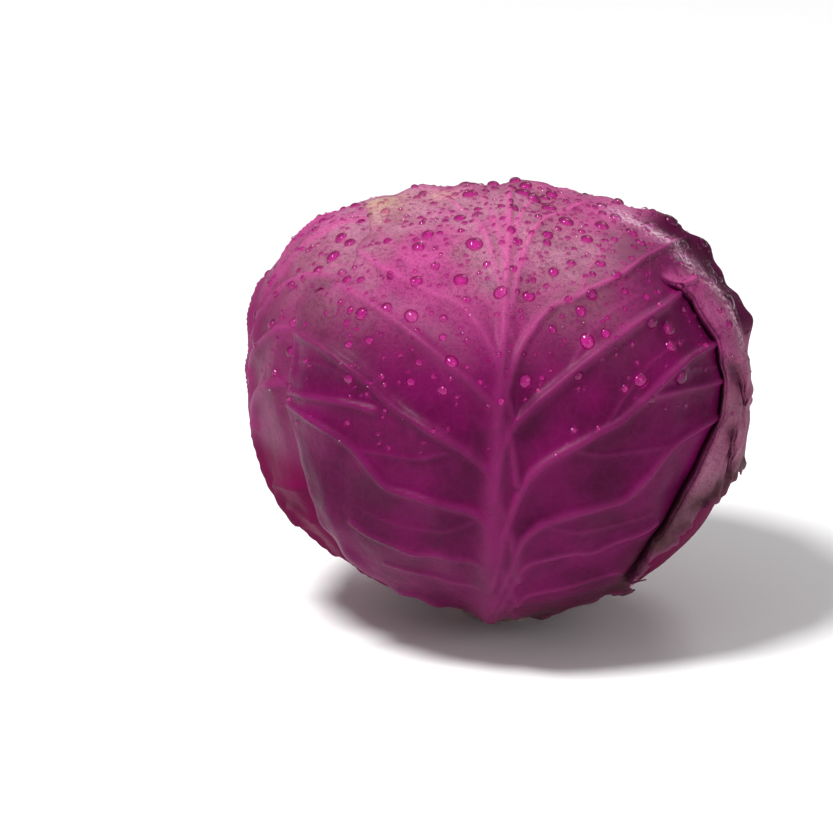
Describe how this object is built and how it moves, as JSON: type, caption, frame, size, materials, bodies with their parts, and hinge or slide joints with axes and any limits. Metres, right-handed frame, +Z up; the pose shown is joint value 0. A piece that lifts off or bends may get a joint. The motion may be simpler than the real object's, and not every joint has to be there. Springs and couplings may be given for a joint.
{
  "type": "red cabbage head",
  "caption": "Whole red cabbage head: broad purple leaves wrapped round a tight heart on a short cut stem that it stands on.",
  "frame": {"origin": "centre of the flat cut face of the stem, which the head stands on", "axes": "+Z up from the stem to the crown, -Y towards the front with the outermost leaf's midrib, +X to the head's right"},
  "size_m": [0.1712, 0.1639, 0.1529],
  "materials": {
    "purple_leaf": "waxy satin leaf with paler magenta veins",
    "cut_stem": "matte, freshly cut, pale cream"
  },
  "bodies": {
    "root": {"stem": "cut_stem", "heart": "purple_leaf", "outer_leaf_front": "purple_leaf", "outer_leaf_back_right": "purple_leaf", "outer_leaf_left": "purple_leaf", "second_leaf_front_right": "purple_leaf", "second_leaf_back": "purple_leaf", "second_leaf_front_left": "purple_leaf", "third_leaf_right": "purple_leaf", "third_leaf_back_left": "purple_leaf", "third_leaf_front": "purple_leaf"}
  },
  "joints": []
}
